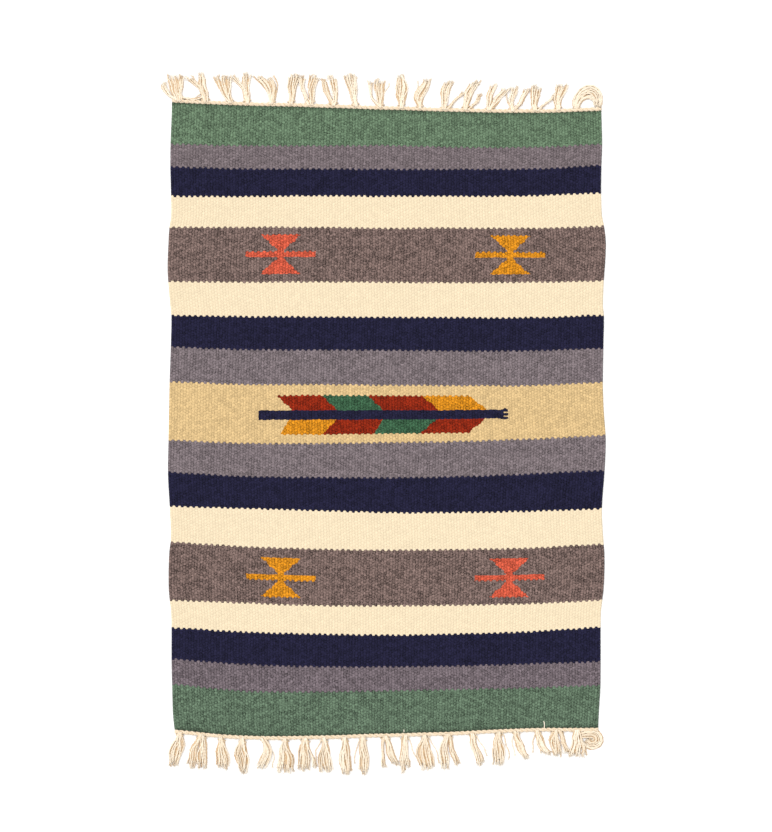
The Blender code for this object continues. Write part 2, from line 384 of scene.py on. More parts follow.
def rounded(distance, radius):
    """Height, as a share, of a round edge at this distance in from it."""
    inside = np.clip(distance / radius, 0, 1)
    return np.sqrt(1 - (1 - inside) ** 2)


def place_on_cad(xs):
    """How far the loom's middle lies from the row frame's origin."""
    low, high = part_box("woven_cloth")
    middle_x = (xs[2:-2].min() + xs[2:-2].max()) / 2  # without the rows that are rounded off
    near = min(weft_y(WEFT_LINES[-1], x) for x in xs[-1])
    far = max(weft_y(WEFT_LINES[0], x) for x in xs[0])
    middle_y = (near + far) / 2
    return Vector(((low.x + high.x) / 2 - middle_x, (low.y + high.y) / 2 - middle_y, 0))


# ---------------------------------------------------------------- meshes


def mesh_object(name, points, faces, shift, **numbers):
    """A smooth-shaded mesh object, with any named point attributes of 1 or 3 numbers."""
    mesh = bpy.data.meshes.new(name)
    mesh.from_pydata((np.asarray(points) + np.array(shift)).tolist(), [], faces)
    mesh.polygons.foreach_set("use_smooth", [True] * len(mesh.polygons))
    for key, values in numbers.items():
        values = np.asarray(values, np.float32)
        wide = values.ndim == 2
        attribute = mesh.attributes.new(key, "FLOAT_VECTOR" if wide else "FLOAT", "POINT")
        attribute.data.foreach_set("vector" if wide else "value", values.ravel())
    mesh.update()
    made = bpy.data.objects.new(name, mesh)
    bpy.context.scene.collection.objects.link(made)
    return made


def woven_cloth(grid, shift):
    """The cloth as one closed sheet, ribbed on both faces, with rounded selvedges and ends."""
    warps, rows, xs, ys = grid
    rib = np.abs(np.sin(math.pi * warps)) ** 0.8
    half = CLOTH_THICKNESS / 2 - RIB_RELIEF * (1 - rib)
    from_side = np.minimum(warps, WARPS - warps) * CLOTH_WIDTH / WARPS
    half = half * rounded(from_side, EDGE_ROUND)
    from_end = (np.minimum(rows, PICKS - rows) + END_PICKS + 0.1) * PICK
    points, loom = [], []
    for row, pick in enumerate(rows):
        rise = half * rounded(from_end[row], EDGE_ROUND)
        top = np.stack([xs[row], ys[row], CLOTH_THICKNESS / 2 + rise], 1)
        under = np.stack([xs[row], ys[row], CLOTH_THICKNESS / 2 - rise], 1)[-2:0:-1]
        points += [top, under]
        loom += [(warp, pick, 0) for warp in (*warps, *warps[-2:0:-1])]
    ring = 2 * len(warps) - 2
    faces = []
    for row in range(len(rows) - 1):
        for i in range(ring):
            j = (i + 1) % ring
            faces.append((row * ring + j, row * ring + i, (row + 1) * ring + i, (row + 1) * ring + j))
    faces += end_faces(len(warps), ring, (len(rows) - 1) * ring)
    cloth = mesh_object("woven_cloth_ribbed", np.concatenate(points), faces, shift, loom=loom)
    flat_map(cloth)
    return cloth


def end_faces(columns, ring, last):
    """The upright faces of both ends. A row has ring points, and the last row starts at the point last."""
    faces = []
    for i in range(columns - 1):
        over, next_over = i, i + 1
        below, next_below = (ring - i) % ring, ring - i - 1
        if i == 0:
            far_end = (over, next_over, next_below)
        elif i == columns - 2:
            far_end = (over, next_over, below)
        else:
            far_end = (over, next_over, next_below, below)
        near_end = (far_end[0], *far_end[:0:-1])
        faces += [far_end, tuple(last + point for point in near_end)]
    return faces


def flat_map(cloth):
    """One flat map for both faces, since they are woven alike. The ends' upright faces get a little width."""
    mesh = cloth.data
    corners = np.array([(v.co.x, v.co.y, v.co.z) for v in mesh.vertices])
    middle = (corners.min(0) + corners.max(0)) / 2
    size = corners.max(0) - corners.min(0)
    layer = mesh.uv_layers.new(name="OFBake")
    for face in mesh.polygons:
        upright = abs(face.normal.y) > 0.9
        for i in face.loop_indices:
            x, y, z = corners[mesh.loops[i].vertex_index]
            if upright:
                y += math.copysign(z, y - middle[1])
            u = 0.5 + MAP_SHARE * (x - middle[0]) / size[0]
            v = 0.5 + MAP_SHARE * (y - middle[1]) / size[1]
            layer.data[i].uv = (u, v)


class Strands:
    """Gathers round strands, each a closed tube along its own path, into one mesh."""

    def __init__(self):
        self.points, self.faces, self.tones, self.count = [], [], [], 0

    def lay(self, path, radii, sides, tone):
        """Adds a tube of the given radius at each point of its path. tone is how light this strand is: its
        own random tone, with painted shade on the lower and underlying yarns.
        """
        path = np.asarray(path, float)
        ahead = np.gradient(path, axis=0)
        ahead /= np.linalg.norm(ahead, axis=1)[:, None]
        sideways = np.cross(ahead, (0.0, 0.0, 1.0))
        sideways /= np.linalg.norm(sideways, axis=1)[:, None] + 1e-9
        upward = np.cross(sideways, ahead)
        turn = 2 * math.pi * np.arange(sides) / sides
        radii = np.broadcast_to(np.asarray(radii, float), len(path))
        spokes = sideways[:, None] * np.cos(turn)[None, :, None]
        spokes = spokes + upward[:, None] * np.sin(turn)[None, :, None]
        self.points.append((path[:, None] + spokes * radii[:, None, None]).reshape(-1, 3))
        first = self.count
        for ring in range(len(path) - 1):
            here = first + ring * sides
            for i in range(sides):
                j = (i + 1) % sides
                self.faces.append((here + i, here + j, here + sides + j, here + sides + i))
        last = first + (len(path) - 1) * sides
        self.faces.append(tuple(first + i for i in reversed(range(sides))))
        self.faces.append(tuple(last + i for i in range(sides)))
        self.tones += [tone] * (len(path) * sides)
        self.count += len(path) * sides

    def made(self, name, shift):
        return mesh_object(name, np.concatenate(self.points), self.faces, shift, tone=self.tones)


def heading_y(across, end):
    """Y of the heading's middle line, against the last pick."""
    line = WEFT_LINES[0] if end > 0 else WEFT_LINES[-1]
    return weft_y(line, across) + end * (HEADING_FROM_WEFT + HEADING_STRAND + HEADING_COIL)


def heading(strands, left, right, end, dice):
    """The twined warp ends along one end of the cloth: two strands of three yarns, twisted together."""
    count = round((right - left) / HEADING_STEP)
    across = np.linspace(left, right, count)
    middle = np.array([heading_y(x, end) for x in across])
    middle += 0.25 * MM * np.sin(across / (17 * MM)) * np.sin(across / (53 * MM) + end)
    tuck = np.clip(np.minimum(across - left, right - across) / (2 * MM) + 0.4, 0, 1)
    for strand in range(2):
        turn = 2 * math.pi * across / HEADING_PITCH + strand * math.pi
        for yarn in range(3):
            own = turn * 1.5 + yarn * 2 * math.pi / 3 + dice.uniform(-0.3, 0.3)
            swell = 1 + 0.08 * np.sin(across / (9 * MM) + 2 * yarn + strand)
            y = middle + HEADING_COIL * np.cos(turn) + 0.5 * HEADING_STRAND * np.cos(own) * tuck
            z = 1.15 * HEADING_STRAND + HEADING_COIL * 0.75 * (1 + np.sin(turn))
            z += 0.45 * HEADING_STRAND * np.sin(own) * tuck
            radii = 0.56 * HEADING_STRAND * swell * tuck
            strands.lay(np.stack([across, y, z], 1), radii, YARN_SIDES, dice.uniform(-0.5, -0.05))


def plied_yarn(strands, path, dice, light, radius):
    """A two-ply yarn along a path, its plies opening and fraying into fibres at the tip."""
    path = np.asarray(path, float)
    steps = np.linalg.norm(np.diff(path, axis=0), axis=1)
    run = np.concatenate([[0], np.cumsum(steps)])
    share = run / run[-1]
    ahead = np.gradient(path, axis=0)
    ahead /= np.linalg.norm(ahead, axis=1)[:, None]
    sideways = np.cross(ahead, (0.0, 0.0, 1.0))
    upward = np.cross(sideways, ahead)
    opening = 1 + 1.2 * np.clip((share - 0.85) / 0.15, 0, 1) ** 2
    thinning = 1 - 0.35 * np.clip((share - 0.8) / 0.2, 0, 1) ** 2
    tone, start = light + dice.uniform(-0.7, 0.7), dice.uniform(0, 2 * math.pi)
    for ply in range(2):
        turn = (2 * math.pi * run / PLY_PITCH + start + ply * math.pi)[:, None]
        off = (sideways * np.cos(turn) + upward * np.sin(turn)) * (PLY_OFF * radius * opening)[:, None]
        line = path + off
        line[:, 2] = np.maximum(line[:, 2], 0.62 * radius)
        strands.lay(line, PLY_RADIUS * radius * thinning, YARN_SIDES, tone + dice.uniform(-0.2, 0.2))
    fray(strands, path, ahead[-1], dice, tone)
    for _ in range(FIBRES_ALONG):
        k = dice.randrange(3, len(path) - 1)
        lean, length = dice.uniform(-0.9, 0.9), dice.uniform(2.5, 5) * MM
        loose_fibre(strands, path[k], ahead[k], lean, length, tone + 1.0)


def loose_fibre(strands, start, ahead, lean, length, tone):
    """One fine fibre, bending away from the way its yarn runs and settling towards the floor."""
    along = Vector(ahead)
    aside = Vector((-along.y, along.x, 0))
    line = []
    for t in (0, 0.5, 1):
        point = Vector(start) + (along + aside * lean * (0.4 + 0.9 * t)) * length * t
        point.z = max(FIBRE_RADIUS, start[2] * (1 - 0.5 * t))
        line.append(point)
    strands.lay(line, FIBRE_RADIUS * np.array([1, 0.9, 0.4]), FIBRE_SIDES, tone)


def fray(strands, path, ahead, dice, tone):
    """The fibres that a yarn's cut end opens into."""
    along = Vector(ahead)
    aside = Vector((-along.y, along.x, 0))
    for _ in range(FIBRES_AT_TIP):
        start = Vector(path[-1]) - along * dice.uniform(1.5, 3.5) * MM
        start += aside * dice.uniform(-0.7, 0.7) * YARN_RADIUS
        loose_fibre(strands, start, ahead, dice.uniform(-0.6, 0.6), dice.uniform(3.0, 7.5) * MM, tone + 1.4)


def lay_bundle(strands, middle, out_of, width, count, lift, dice):
    """A bundle of yarns along a middle line. out_of gives a sideways direction, width the whole width.

    Each yarn starts at one place across the bundle and ends at another, so that they cross.
    """
    for k in range(count):
        tip_place = (2 * k / (count - 1) - 1 if count > 1 else 0) + dice.uniform(-0.15, 0.15)
        root_place = 0.35 * tip_place + dice.uniform(-0.65, 0.65)
        phase, layer = dice.uniform(0, 2 * math.pi), k % 2
        length, bend = dice.uniform(0.86, 1.05), dice.uniform(-2.2, 2.2) * MM
        path = []
        for s in range(STATIONS):
            t = s / (STATIONS - 1) * length
            crossing = min(1, t / 0.7) ** 2 * (3 - 2 * min(1, t / 0.7))
            place = root_place + (tip_place - root_place) * crossing
            inner = max(width(t) / 2 - YARN_RADIUS, 0.3 * YARN_RADIUS)
            wander = 0.5 * MM * math.sin(phase + 7 * t) + 0.2 * MM * math.sin(phase + 40 * t)
            point = middle(t) + out_of(t) * (place * inner + wander + bend * t**4)
            crowd = min(1.0, max(0.0, count * 2 * YARN_RADIUS / max(width(t), 1e-4) - 0.8))
            height = YARN_RADIUS + layer * crowd * 1.5 * YARN_RADIUS + lift(t)
            path.append((point.x, point.y, height))
        if count > 2:
            # painted shade: the lower layer's yarns get a darker tone
            plied_yarn(strands, path, dice, 0.55 if layer else -0.5, YARN_RADIUS)
        else:
            plied_yarn(strands, path, dice, 0.5, 0.8 * YARN_RADIUS)
    if count > 2:
        lay_under(strands, middle, out_of, width, count, lift, dice)


def lay_under(strands, middle, out_of, width, count, lift, dice):
    """The shorter ends that lie under a bundle, painted dark as its shade."""
    for k in range(count):
        place, length = 2 * k / (count - 1) - 1 + dice.uniform(-0.1, 0.1), dice.uniform(0.75, 0.94)
        path = []
        for s in range(UNDER_STATIONS):
            t = s / (UNDER_STATIONS - 1) * length
            point = middle(t) + out_of(t) * (place * 0.78 * max(width(t) / 2 - YARN_RADIUS, 0))
            path.append((point.x, point.y, 0.9 * YARN_RADIUS + 0.5 * lift(t)))
        # their darker tone is painted shade
        strands.lay(path, 0.9 * YARN_RADIUS, YARN_SIDES, dice.uniform(-1.6, -1.0))


def rise_from_heading(t):
    """The yarns come up out of the heading and lie down on the floor."""
    return 2.8 * MM * max(0.0, 1 - t / 0.3) ** 1.5


def lay_lock(strands, lock, end, dice):
    """One lock of warp ends, from inside the heading to its frayed tips."""
    edge = HEADING_STRAND + HEADING_COIL
    y_root = heading_y(lock.root * MM, end)
    root_width = min(ROOT_WIDTH, 0.8 * lock.yarns + 1.6)
    fullness = NEAR_FULLNESS if end < 0 else FAR_FULLNESS

    start, waves = dice.uniform(0, 2 * math.pi), dice.uniform(1.1, 1.9)
    yarns = lock.yarns + 1 if lock.yarns > 3 else lock.yarns

    def middle(t):
        x = lock.root + through((0, 0.5, 1), (0, lock.middle, lock.tip), t)
        x += LOCK_WAVE * min(1, 3 * t) * math.sin(2 * math.pi * waves * t + start)
        if t > 1:
            x += (lock.tip - lock.middle) * 2 * (t - 1)
        return Vector((x * MM, y_root + end * (edge + 0.3 * MM + lock.reach * MM) * t, 0))

    def width(t):
        widths = (root_width, root_width * 1.15, lock.belly * fullness, lock.spread * (fullness + 0.06))
        return through((0, 0.1, 0.45, 1), widths, t) * MM

    lay_bundle(strands, middle, lambda t: Vector((1, 0, 0)), width, yarns, rise_from_heading, dice)
    if lock.yarns > 3:
        lay_wrap(strands, middle(dice.uniform(0.09, 0.13)), root_width / 2 * MM + YARN_RADIUS, end, dice)


def lay_wrap(strands, centre, half, end, dice):
    """The one warp end that is wound over the others at the root of a lock and tucked under them."""
    slant = dice.uniform(0.5, 1.1) * MM * end
    path = []
    for k in range(9):
        turn = math.pi * (k / 8 * 1.1 - 0.05)
        height = 1.35 * MM + 2.5 * MM * math.sin(turn)
        path.append((centre.x - half * math.cos(turn), centre.y - slant * math.cos(turn), height))
    # the wrap is a real strand; its darker tone is painted shade for the dark mark at the lock's root
    strands.lay(path, 0.8 * YARN_RADIUS, YARN_SIDES, dice.uniform(-1.4, -0.4))


def lay_curl(strands, curl, end, dice):
    """A bundle that curls along its own route."""
    edge = HEADING_STRAND + HEADING_COIL
    places = [k / (len(curl.route) - 1) for k in range(len(curl.route))]

    def middle(t):
        x = through(places, [p[0] for p in curl.route], t) * MM
        out = through(places, [p[1] for p in curl.route], t) * MM
        return Vector((x, heading_y(x, end) + end * (edge + out), 0))

    def out_of(t):
        ahead = middle(min(t + 0.03, 1)) - middle(max(t - 0.03, 0))
        return Vector((ahead.y, -ahead.x, 0)).normalized()

    def width(t):
        return curl.width * (0.75 + 0.25 * math.sin(math.pi * min(t, 1))) * MM

    lay_bundle(strands, middle, out_of, width, curl.yarns, lambda t: 1.0 * MM * max(0, 1 - 4 * t), dice)


def lay_loose_end(strands, loose):
    """An end of warp yarn that has worked out onto the cloth."""
    path = []
    for t in (0, 0.2, 0.4, 0.6, 0.8, 1):
        across = loose.across + loose.run_across * (t + 0.3 * math.sin(5 * t))
        height = CLOTH_THICKNESS + (0.9 * math.sin(math.pi * (0.15 + 0.8 * t)) - 0.4) * MM
        path.append((across * MM, (loose.along + loose.run_along * t) * MM, height))
    strands.lay(path, LOOSE_END_RADIUS, 6, 1.2)


def fringe(name, end, locks, curls, grid, shift, seed):
    """A whole fringe: its heading and all its yarns, as one mesh."""
    dice = random.Random(seed)
    row = 0 if end > 0 else -1
    strands = Strands()
    heading(strands, grid[2][row][0], grid[2][row][-1], end, dice)
    for lock in locks:
        lay_lock(strands, lock, end, dice)
    for curl in curls:
        lay_curl(strands, curl, end, dice)
    for loose in LOOSE_ENDS if end < 0 else ():
        lay_loose_end(strands, loose)
    return strands.made(name, shift)


# ---------------------------------------------------------------- finishes

# The weft's patterns are drawn in loom coordinates. One unit is a rib of 3.95 mm across the cloth, and a
# pick of 2.1 mm along it, so a noise of scale 0.35 changes about every third rib and pick.
SWAY_SCALE = 0.35
SWAY = (0.6, 1.1, 0)  # how far the threads wander from their places, in ribs and picks
FLOAT_SHAPE = (1.25, 0.75, 0)  # how soon a float ends across the ribs, and along them

# What makes a place on the weft lighter or darker than its dye, in flecks of its yarn: its own random tone,
# and painted light and shade on the floats and ribs.
FLOAT_VARIES = 1.8  # from one float to the next
BEAD_PAINTED_LIGHT = 1.3  # painted light in the middle of a float
BEAD_PAINTED_SHADE = 4.6  # and how fast painted shade darkens it away from there, towards the hollows between floats
RIB_PAINTED_SHADE = 0.45  # painted light on top of a rib, painted shade in the hollow beside it
Mottle = namedtuple("Mottle", "stretch scale detail varies")
TUFTS = Mottle((1.0, 0.55, 1), 2.4, 1.0, 7.5)  # of fibre, within a float
STREAKS = Mottle((0.06, 1.0, 1), 0.9, 2.0, 0.9)  # along the picks
CLOUDS = Mottle((1, 1, 1), 0.09, 3.0, 0.6)  # over about eleven ribs and picks
DARKEST = 0.2  # the least share of the dye's own lightness
HEADING_SHADE = 0.62  # painted shade under the heading: the share of lightness that is left where the last pick meets it
HEADING_SHADE_PICKS = 2.2  # and how far in that painted shade reaches

FLOAT_HEIGHT = 0.9 * MM  # of the bump on each float
FLOAT_REACH = 0.85  # where that bump has run out
FIBRE_STRETCH = (0.8, 7.0, 1)  # the fibres run along the picks
FIBRE_SCALE = 1.6
FIBRE_SHARE = 0.18  # of the bump

WARP_PAINTED_SHADE = "#B3834B"  # painted shade between the yarns, near the floor
WARP_SHADED = "#D2B996"
WARP_PALE = "#F2E8D7"
WARP_LIGHT = 0.45  # how far a middling strand is from shaded to pale
TONE_VARIES = 0.32  # and how much its tone adds, which is partly random and partly painted shade on the lower yarns
SLUB_VARIES = 0.35  # and the thick and thin places along it
SLUB_SIZE = 3.846 * MM
GRAIN_SIZE = 2 / 3 * MM  # spun fibres are finer, and are drawn as coarse as they need to show


def linear(hex_colour):
    """A #RRGGBB colour as linear RGBA."""
    channels = [int(hex_colour[i : i + 2], 16) / 255 for i in (1, 3, 5)]
    return (*[c / 12.92 if c <= 0.04045 else ((c + 0.055) / 1.055) ** 2.4 for c in channels], 1.0)


def add(tree, kind, inputs=(), output=0, **settings):
    """Adds one node with its settings, its inputs being values or links, and returns one of its outputs."""
    made = tree.nodes.new("ShaderNode" + kind)
    for name, value in settings.items():
        setattr(made, name, value)
    for key, value in inputs.items() if isinstance(inputs, dict) else enumerate(inputs):
        if isinstance(value, bpy.types.NodeSocket):
            tree.links.new(value, made.inputs[key])
        else:
            made.inputs[key].default_value = value
    return made.outputs[output]


def new_material(name):
    material = bpy.data.materials.new(name)
    material.use_nodes = True
    return material, material.node_tree, material.node_tree.nodes["Principled BSDF"]


def nearest_float(tree, loom):
    """The float of weft that covers each point. Floats lie brickwise, on every second rib of each pick.

    Gives the warp and pick numbers of its middle, and how far from there the point is.
    """
    found = []
    for first in (0.5, 1.5):
        moved = add(tree, "VectorMath", (loom, (first - 1, first - 1, 0)), operation="SUBTRACT")
        cell = add(tree, "VectorMath", (moved, (2, 2, 1)), operation="SNAP")
        middle = add(tree, "VectorMath", (cell, (first, first, 0)), operation="ADD")
        off = add(tree, "VectorMath", (loom, middle), operation="SUBTRACT")
        shaped = add(tree, "VectorMath", (off, FLOAT_SHAPE), operation="MULTIPLY")
        far = add(tree, "VectorMath", (shaped,), 1, operation="LENGTH")
        found.append((middle, far))
    (middle_a, far_a), (middle_b, far_b) = found
    nearer_b = add(tree, "Math", (far_b, far_a), operation="LESS_THAN")
    middle = add(tree, "Mix", {0: nearer_b, 4: middle_a, 5: middle_b}, 1, data_type="VECTOR")
    far = add(tree, "Math", (far_a, far_b), operation="MINIMUM")
    return middle, far


def lay_in(tree, dye, where, yarn):
    """The dye with another yarn laid in wherever where is 1."""
    colour, fleck = dye
    colour = add(tree, "Mix", {0: where, 6: colour, 7: linear(yarn.colour)}, 2, data_type="RGBA")
    fleck = add(tree, "Mix", {0: where, 2: fleck, 3: yarn.fleck})
    return colour, fleck


def banded(tree, pick):
    """The bands of weft, by pick number. The first and the last run on round the cloth's ends."""
    first = YARNS[WEFT_LINES[0].yarn]
    dye = add(tree, "RGB"), add(tree, "Value")
    dye[0].default_value = linear(first.colour)
    dye[1].default_value = first.fleck
    for line, start in zip(WEFT_LINES[1:-1], PICK_LINES[1:-1]):
        past = add(tree, "Math", (pick, start), operation="GREATER_THAN")
        dye = lay_in(tree, dye, past, YARNS[line.yarn])
    return dye


def both(tree, *tests):
    """1 where all these tests are 1."""
    held = tests[0]
    for test in tests[1:]:
        held = add(tree, "Math", (held, test), operation="MULTIPLY")
    return held


def hourglasses(tree, dye, warp, pick):
    """Four stepped hourglasses with a bar through each, two orange red and two mustard."""
    upper = (PICK_LINES[UPPER_BROWN] + PICK_LINES[UPPER_BROWN + 1]) / 2 + UPPER_OFF
    lower = (PICK_LINES[LOWER_BROWN] + PICK_LINES[LOWER_BROWN + 1]) / 2 + LOWER_OFF
    from_middle = add(tree, "Math", (warp, GLASS_MIDDLE), operation="SUBTRACT")
    from_centre = add(tree, "Math", (pick, (upper + lower) / 2), operation="SUBTRACT")
    sideways = add(tree, "Math", (from_middle,), operation="ABSOLUTE")
    sideways = add(tree, "Math", (sideways, GLASS_FROM_MIDDLE), operation="SUBTRACT")
    sideways = add(tree, "Math", (sideways,), operation="ABSOLUTE")
    upright = add(tree, "Math", (from_centre,), operation="ABSOLUTE")
    upright = add(tree, "Math", (upright, (lower - upper) / 2), operation="SUBTRACT")
    upright = add(tree, "Math", (upright,), operation="ABSOLUTE")
    side = add(tree, "Math", (upright, GLASS_SLOPE, -0.5), operation="MULTIPLY_ADD")
    side = add(tree, "Math", (side, GLASS_WAIST), operation="MAXIMUM")
    in_glass = both(
        tree,
        add(tree, "Math", (sideways, side), operation="LESS_THAN"),
        add(tree, "Math", (upright, GLASS_HEIGHT), operation="LESS_THAN"),
    )
    in_bar = both(
        tree,
        add(tree, "Math", (sideways, BAR_REACH), operation="LESS_THAN"),
        add(tree, "Math", (upright, BAR_HEIGHT), operation="LESS_THAN"),
    )
    shown = add(tree, "Math", (in_glass, in_bar), operation="MAXIMUM")
    dye = lay_in(tree, dye, shown, YARNS["orange red"])
    across_corner = add(tree, "Math", (from_middle, from_centre), operation="MULTIPLY")
    other_two = add(tree, "Math", (across_corner, 0.0), operation="LESS_THAN")
    return lay_in(tree, dye, both(tree, shown, other_two), YARNS["mustard"])


def feather(tree, dye, warp, pick, loom):
    """A feather of slanting barbs on a navy shaft, along the tan band."""
    middle = PICK_LINES[TAN_BAND + 1] - SHAFT_TO_LINE
    out = add(tree, "Math", (pick, middle), operation="SUBTRACT")
    away = add(tree, "Math", (out,), operation="ABSOLUTE")
    for barbs, reach, sign in ((FAR_BARBS, VANE_FAR, "LESS_THAN"), (NEAR_BARBS, VANE_NEAR, "GREATER_THAN")):
        on_side = add(tree, "Math", (out, 0.0), operation=sign)
        within = add(tree, "Math", (away, reach), operation="LESS_THAN")
        for barb, after in zip(barbs, barbs[1:]):
            begins = add(tree, "Math", (away, -barb.slope, barb.start), operation="MULTIPLY_ADD")
            ends = add(tree, "Math", (away, -after.slope, after.start), operation="MULTIPLY_ADD")
            in_barb = both(
                tree,
                on_side,
                within,
                add(tree, "Math", (warp, begins), operation="GREATER_THAN"),
                add(tree, "Math", (warp, ends), operation="LESS_THAN"),
            )
            dye = lay_in(tree, dye, in_barb, YARNS[barb.yarn])
    in_shaft = both(
        tree,
        add(tree, "Math", (warp, SHAFT[0]), operation="GREATER_THAN"),
        add(tree, "Math", (warp, SHAFT[1]), operation="LESS_THAN"),
        add(tree, "Math", (away, SHAFT_HALF), operation="LESS_THAN"),
    )
    in_nock = both(
        tree,
        add(tree, "Math", (warp, NOCK[0]), operation="GREATER_THAN"),
        add(tree, "Math", (warp, SHAFT[1]), operation="LESS_THAN"),
        add(tree, "Math", (away, NOCK[1]), operation="LESS_THAN"),
    )
    dye = lay_in(tree, dye, in_shaft, YARNS["navy"])
    dye = lay_in(tree, dye, in_nock, YARNS["navy"])
    fine_warp = add(tree, "SeparateXYZ", (loom,))
    at_end = add(tree, "Math", (fine_warp, SHAFT[1] - NOTCH_DEPTH), operation="GREATER_THAN")
    for notch in NOTCHES:
        off_notch = add(tree, "Math", (fine_warp.node.outputs[1], middle + notch), operation="SUBTRACT")
        off_notch = add(tree, "Math", (off_notch,), operation="ABSOLUTE")
        in_notch = add(tree, "Math", (off_notch, NOTCH_HALF), operation="LESS_THAN")
        dye = lay_in(tree, dye, both(tree, in_nock, at_end, in_notch), YARNS["tan"])
    return dye


def mottled(tree, where, mottle):
    """One noise over the weft, as a change in lightness either way."""
    stretched = add(tree, "VectorMath", (where, mottle.stretch), operation="MULTIPLY")
    noise = add(tree, "TexNoise", {"Vector": stretched, "Scale": mottle.scale, "Detail": mottle.detail})
    return add(tree, "Math", (noise, 2 * mottle.varies, -mottle.varies), operation="MULTIPLY_ADD")


def weft_shade(tree, flat, middle, far, fleck):
    """How light each place on the weft is, as a share of its dye: its own random tone, with painted light and
    shade on each float and painted shade in the hollows between ribs and under the heading. flat is the place
    in loom coordinates.
    """
    each = add(tree, "TexWhiteNoise", {"Vector": middle}, noise_dimensions="3D")
    each = add(tree, "Math", (each, 2 * FLOAT_VARIES, -FLOAT_VARIES), operation="MULTIPLY_ADD")
    # painted light in the middle of each float, painted shade towards its edges
    bead_shading = add(tree, "Math", (far, far), operation="MULTIPLY")
    bead_shading = add(tree, "Math", (bead_shading, -BEAD_PAINTED_SHADE, BEAD_PAINTED_LIGHT), operation="MULTIPLY_ADD")
    warp = add(tree, "SeparateXYZ", (flat,))
    pick = warp.node.outputs[1]
    # painted shade in the hollows between the ribs, painted light on their tops
    rib = add(tree, "Math", (warp, 2 * math.pi), operation="MULTIPLY")
    rib = add(tree, "Math", (rib,), operation="COSINE")
    rib = add(tree, "Math", (rib, -RIB_PAINTED_SHADE), operation="MULTIPLY")
    tufts, streaks = mottled(tree, flat, TUFTS), mottled(tree, middle, STREAKS)
    shade = each
    for part in (bead_shading, rib, tufts, streaks, mottled(tree, flat, CLOUDS)):
        shade = add(tree, "Math", (shade, part), operation="ADD")
    shade = add(tree, "Math", (shade, fleck, 1.0), operation="MULTIPLY_ADD")
    # painted shade where the last picks meet the heading, at both ends of the cloth
    to_near_end = add(tree, "Math", (PICKS, pick), operation="SUBTRACT")
    from_end = add(tree, "Math", (pick, to_near_end), operation="MINIMUM")
    heading_shade = add(tree, "MapRange", {0: from_end, 1: 0.0, 2: HEADING_SHADE_PICKS, 3: HEADING_SHADE, 4: 1.0})
    shade = add(tree, "Math", (shade, heading_shade), operation="MULTIPLY")
    return add(tree, "Math", (shade, DARKEST), operation="MAXIMUM")


def float_relief(tree, flat, far):
    """The rounded top of each float, with the fibres on it."""
    fibres = add(tree, "VectorMath", (flat, FIBRE_STRETCH), operation="MULTIPLY")
    fibre = add(tree, "TexNoise", {"Vector": fibres, "Scale": FIBRE_SCALE, "Detail": 3.0})
    height = add(tree, "Math", (far, FLOAT_REACH), operation="DIVIDE")
    height = add(tree, "Math", (height, 2.0), operation="POWER")
    height = add(tree, "Math", (1.0, height), operation="SUBTRACT")
    height = add(tree, "Math", (fibre, FIBRE_SHARE, height), operation="MULTIPLY_ADD")
    return add(tree, "Bump", {"Strength": 0.6, "Distance": FLOAT_HEIGHT, "Height": height})


def dyed_cotton_weft():
    """Thick soft cotton, vat dyed in the hank and beaten down hard: matt, with each float a little lighter or
    darker than the next, and with painted shade in the hollows between floats and ribs and under the heading."""
    material, tree, surface = new_material("dyed cotton weft, plain weave")
    loom = add(tree, "Attribute", output=1, attribute_name="loom")
    sway = add(tree, "TexNoise", {"Vector": loom, "Scale": SWAY_SCALE, "Detail": 1.0}, 1)
    sway = add(tree, "VectorMath", (sway, (0.5, 0.5, 0.5)), operation="SUBTRACT")
    sway = add(tree, "VectorMath", (sway, SWAY), operation="MULTIPLY")
    flat = add(tree, "VectorMath", (loom, sway), operation="ADD")
    middle, far = nearest_float(tree, flat)
    drawn = add(tree, "Mix", {0: TOOTH, 4: flat, 5: middle}, 1, data_type="VECTOR")
    warp = add(tree, "SeparateXYZ", (drawn,))
    pick = warp.node.outputs[1]
    dye = banded(tree, pick)
    dye = hourglasses(tree, dye, warp, pick)
    colour, fleck = feather(tree, dye, warp, pick, flat)
    shade = weft_shade(tree, flat, middle, far, fleck)
    colour = add(tree, "Mix", {0: 1.0, 6: colour, 7: shade}, 2, data_type="RGBA", blend_type="MULTIPLY")
    bump = float_relief(tree, flat, far)
    tree.links.new(colour, surface.inputs["Base Color"])
    tree.links.new(bump, surface.inputs["Normal"])
    surface.inputs["Roughness"].default_value = 0.92
    surface.inputs["Specular IOR Level"].default_value = 0.04
    surface.inputs["Sheen Weight"].default_value = 0.04
    surface.inputs["Sheen Roughness"].default_value = 0.6
    return material


